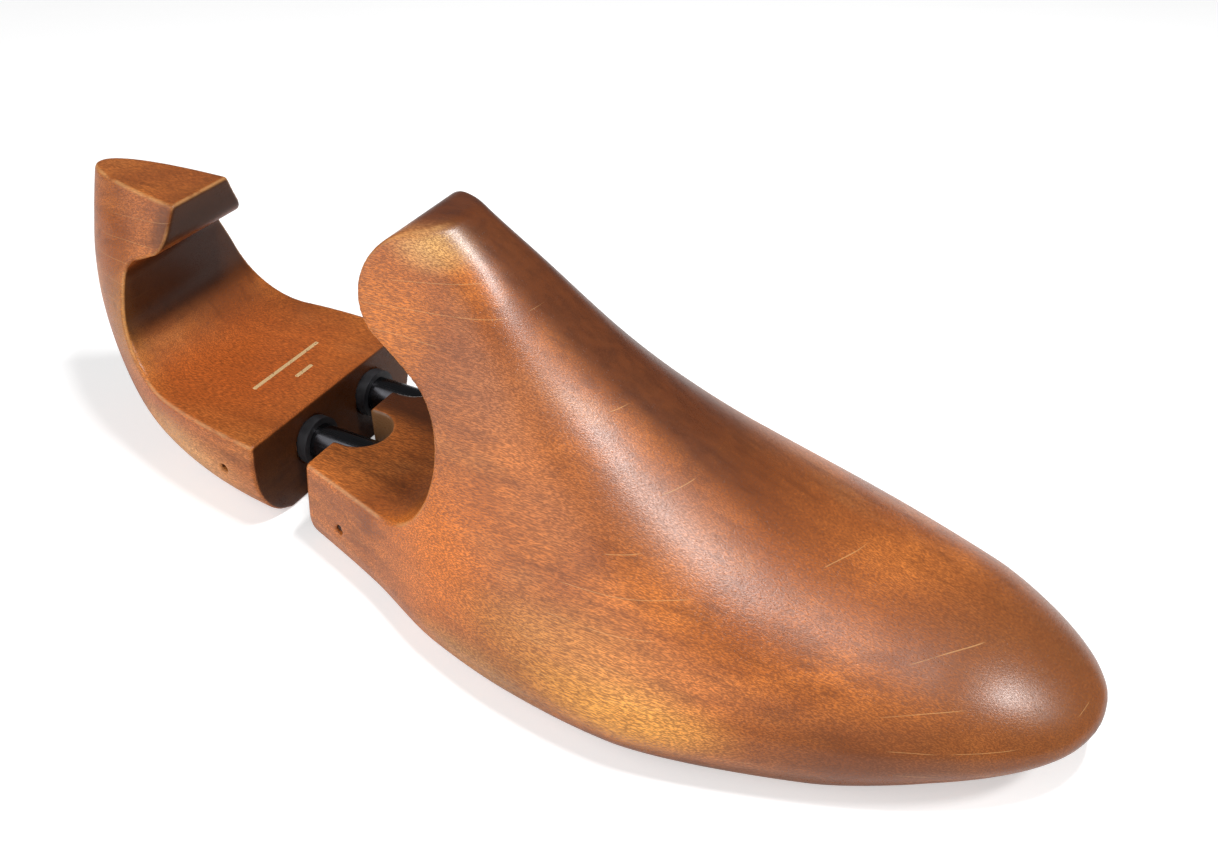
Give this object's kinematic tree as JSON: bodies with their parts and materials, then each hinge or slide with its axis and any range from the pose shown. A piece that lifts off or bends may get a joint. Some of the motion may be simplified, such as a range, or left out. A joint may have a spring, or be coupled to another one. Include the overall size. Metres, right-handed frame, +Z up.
{
  "type": "shoe tree",
  "caption": "Last-shaped wooden shoe tree: toe block with arched instep, heel block with scooped finger hook, joined by sprung twin rods.",
  "frame": {"origin": "on the floor under the middle of the heel seat, halfway between the two rods", "axes": "+X to the toe along the rods, +Y to the outer side of the left foot, +Z up"},
  "size_m": [0.2778, 0.0928, 0.0854],
  "materials": {
    "stained_beech": "satin",
    "gilt_foil": "satin",
    "black_nylon": "matt",
    "rod_steel": "polished",
    "spring_steel": "satin",
    "nail_steel": "dull"
  },
  "bodies": {
    "forepart_body": {"forepart": "stained_beech", "left_rod": "rod_steel", "right_rod": "rod_steel", "left_stop_collar": "spring_steel", "right_stop_collar": "spring_steel", "left_fore_nail": "nail_steel", "right_fore_nail": "nail_steel"},
    "heel_body": {"heel_block": "stained_beech", "floor_mark": "gilt_foil", "left_sleeve": "black_nylon", "right_sleeve": "black_nylon", "left_guide_bush": "black_nylon", "right_guide_bush": "black_nylon", "left_end_plug": "black_nylon", "right_end_plug": "black_nylon", "left_heel_nail": "nail_steel", "right_heel_nail": "nail_steel", "left_spring": "spring_steel", "right_spring": "spring_steel"}
  },
  "joints": [
    {"name": "heel_slide", "type": "slide", "parent": "forepart_body", "child": "heel_body", "axis": [1, 0, 0], "range_m": [0, 0.012], "stiffness_N_per_m": 1500, "deforming": ["left_spring", "right_spring"]}
  ]
}
